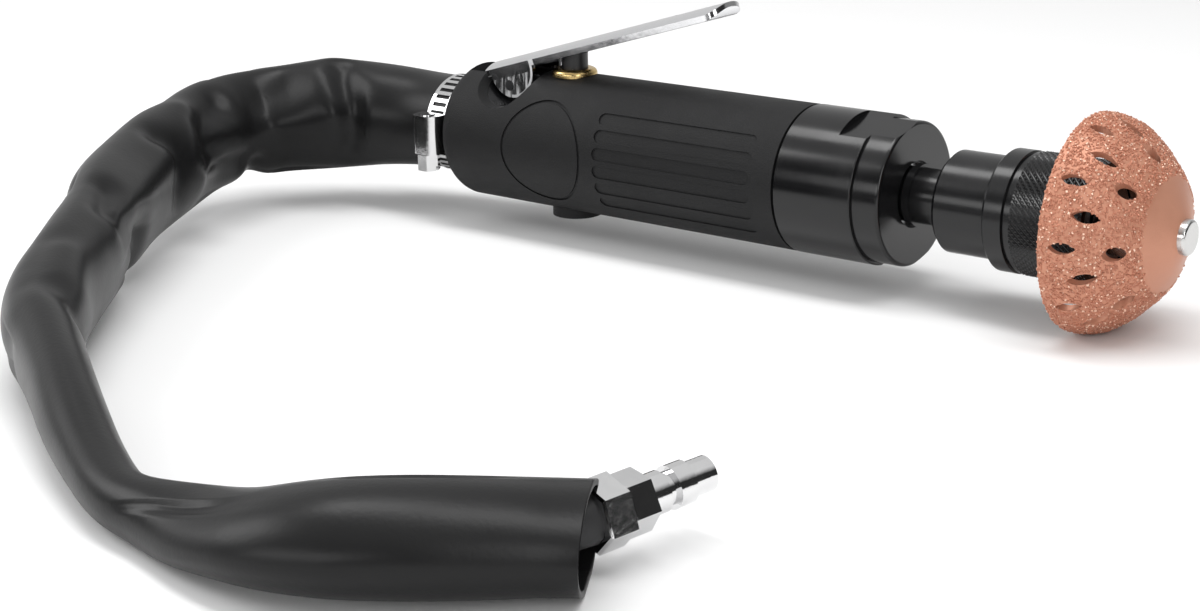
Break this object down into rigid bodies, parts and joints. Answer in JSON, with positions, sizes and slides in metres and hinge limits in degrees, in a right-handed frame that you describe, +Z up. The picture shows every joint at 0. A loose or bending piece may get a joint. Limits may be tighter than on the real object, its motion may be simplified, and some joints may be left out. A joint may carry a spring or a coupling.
{
  "type": "air tire buffer",
  "caption": "Hand-held pneumatic tire buffer with a ribbed grip, throttle lever, quick-change chuck, contour rasp cup and a sleeved exhaust and air hose with a plug.",
  "frame": {"origin": "on the bench under the middle of the tool, hose and sleeve left out", "axes": "+X along the spindle towards the rasp, +Z up on the lever's side"},
  "size_m": [0.3601, 0.3182, 0.085],
  "materials": {
    "black_case": "satin black",
    "black_chuck": "satin black, knurled sleeve",
    "black_plastic": "smooth black",
    "brass_fitting": "turned",
    "clamp_steel": "bright stainless",
    "dark_steel": "black oxide",
    "grip": "fine matte texture, dark grey",
    "hose_rubber": "matte black",
    "housing_alloy": "machined",
    "iron": "ground",
    "lever_chrome": "polished",
    "plug_chrome": "bright plated",
    "rasp_copper": "copper coloured grit",
    "seal_rubber": "smooth",
    "sleeve_vinyl": "soft satin black",
    "spring_steel": "oiled",
    "steel": "ground",
    "vane_composite": "phenolic sheet",
    "zinc_rivet": "bright zinc"
  },
  "bodies": {
    "handle": {"motor_housing": "housing_alloy", "grip": "grip", "front_housing": "black_case", "lever_pin": "steel", "valve_bush": "brass_fitting", "valve_cap": "black_case", "valve_spring": "spring_steel", "rear_end_plate": "iron", "motor_cylinder": "iron", "front_end_plate": "iron", "gear_spacer": "steel", "ring_gear": "steel", "rear_bearing_outer_race": "steel", "front_bearing_outer_race": "steel", "spindle_bearing_a_outer_race": "steel", "spindle_bearing_b_outer_race": "steel", "bearing_retainer": "steel", "clamp_band": "clamp_steel", "clamp_housing": "clamp_steel", "inlet_nipple": "brass_fitting", "exhaust_sleeve": "sleeve_vinyl", "air_hose": "hose_rubber", "hose_ferrule": "steel", "hose_end_nut": "plug_chrome", "air_plug": "plug_chrome"},
    "lever": {"throttle_lever": "lever_chrome"},
    "valve": {"valve_plunger": "black_plastic", "plunger_oring": "seal_rubber", "valve_poppet": "brass_fitting"},
    "spindle": {"spindle": "dark_steel", "planet_pins": "steel", "spindle_bearing_a_inner_race": "steel", "spindle_bearing_b_inner_race": "steel", "spindle_collar": "dark_steel", "chuck_core": "black_chuck", "chuck_spring": "spring_steel", "chuck_snap_ring": "spring_steel", "rasp_cup": "rasp_copper", "rasp_shank": "steel", "rasp_washer": "steel", "rasp_rivet": "zinc_rivet"},
    "rotor": {"rotor": "steel", "rotor_vanes": "vane_composite", "rear_bearing_inner_race": "steel", "front_bearing_inner_race": "steel"},
    "planet_1": {"planet_gear_1": "steel"},
    "planet_2": {"planet_gear_2": "steel"},
    "planet_3": {"planet_gear_3": "steel"},
    "spindle_balls": {"spindle_bearing_a_balls": "steel", "spindle_bearing_b_balls": "steel"},
    "rear_balls": {"rear_bearing_balls": "steel"},
    "front_balls": {"front_bearing_balls": "steel"},
    "sleeve": {"chuck_sleeve": "black_chuck"},
    "ball_1": {"chuck_ball_1": "steel"},
    "ball_2": {"chuck_ball_2": "steel"},
    "ball_3": {"chuck_ball_3": "steel"},
    "clamp_worm": {"clamp_screw": "clamp_steel"}
  },
  "joints": [
    {"name": "lever_press", "type": "hinge", "parent": "handle", "child": "lever", "pos_m": [-0.09607, 0, 0.05], "axis": [0, 1, 0], "range_deg": [0, 12], "stiffness_Nm_per_rad": 1.2, "springref_deg": -14.32},
    {"name": "valve_stroke", "type": "slide", "parent": "handle", "child": "valve", "axis": [0, 0, -1], "range_m": [0, 0.0047], "deforming": ["valve_spring"]},
    {"name": "spindle_spin", "type": "hinge", "parent": "handle", "child": "spindle", "pos_m": [0.04192, 0, 0.032], "axis": [1, 0, 0], "continuous": true},
    {"name": "rotor_spin", "type": "hinge", "parent": "handle", "child": "rotor", "pos_m": [-0.01808, 0, 0.032], "axis": [1, 0, 0], "continuous": true},
    {"name": "planet_1_spin", "type": "hinge", "parent": "spindle", "child": "planet_1", "pos_m": [0.02792, 0, 0.04213], "axis": [1, 0, 0], "continuous": true},
    {"name": "planet_2_spin", "type": "hinge", "parent": "spindle", "child": "planet_2", "pos_m": [0.02792, -0.00877, 0.02694], "axis": [1, 0, 0], "continuous": true},
    {"name": "planet_3_spin", "type": "hinge", "parent": "spindle", "child": "planet_3", "pos_m": [0.02792, 0.00877, 0.02694], "axis": [1, 0, 0], "continuous": true},
    {"name": "spindle_balls_roll", "type": "hinge", "parent": "handle", "child": "spindle_balls", "pos_m": [0.04693, 0, 0.032], "axis": [1, 0, 0], "continuous": true},
    {"name": "rear_balls_roll", "type": "hinge", "parent": "handle", "child": "rear_balls", "pos_m": [-0.04967, 0, 0.032], "axis": [1, 0, 0], "continuous": true},
    {"name": "front_balls_roll", "type": "hinge", "parent": "handle", "child": "front_balls", "pos_m": [0.01192, 0, 0.032], "axis": [1, 0, 0], "continuous": true},
    {"name": "chuck_release", "type": "slide", "parent": "spindle", "child": "sleeve", "axis": [-1, 0, 0], "range_m": [0, 0.006], "stiffness_N_per_m": 1500, "springref_m": -0.003, "deforming": ["chuck_spring"]},
    {"name": "ball_1_lift", "type": "slide", "parent": "spindle", "child": "ball_1", "axis": [0, 0, 1], "range_m": [0, 0.0014]},
    {"name": "ball_2_lift", "type": "slide", "parent": "spindle", "child": "ball_2", "axis": [0, -0.866, -0.5], "range_m": [0, 0.0014]},
    {"name": "ball_3_lift", "type": "slide", "parent": "spindle", "child": "ball_3", "axis": [0, 0.866, -0.5], "range_m": [0, 0.0014]},
    {"name": "clamp_screw_turn", "type": "hinge", "parent": "handle", "child": "clamp_worm", "pos_m": [-0.12327, -0.02095, 0.032], "axis": [0, 0, 1], "continuous": true}
  ],
  "couplings": [
    {"joint": "valve_stroke", "follows": "lever_press", "m_per_rad": 0.0222},
    {"joint": "rotor_spin", "follows": "spindle_spin", "ratio": 4.5},
    {"joint": "planet_1_spin", "follows": "spindle_spin", "ratio": -2.8},
    {"joint": "planet_2_spin", "follows": "spindle_spin", "ratio": -2.8},
    {"joint": "planet_3_spin", "follows": "spindle_spin", "ratio": -2.8},
    {"joint": "spindle_balls_roll", "follows": "spindle_spin", "ratio": 0.4021},
    {"joint": "rear_balls_roll", "follows": "spindle_spin", "ratio": 1.638},
    {"joint": "front_balls_roll", "follows": "spindle_spin", "ratio": 1.85},
    {"joint": "ball_1_lift", "follows": "chuck_release", "ratio": 0.21667},
    {"joint": "ball_2_lift", "follows": "chuck_release", "ratio": 0.21667},
    {"joint": "ball_3_lift", "follows": "chuck_release", "ratio": 0.21667}
  ]
}
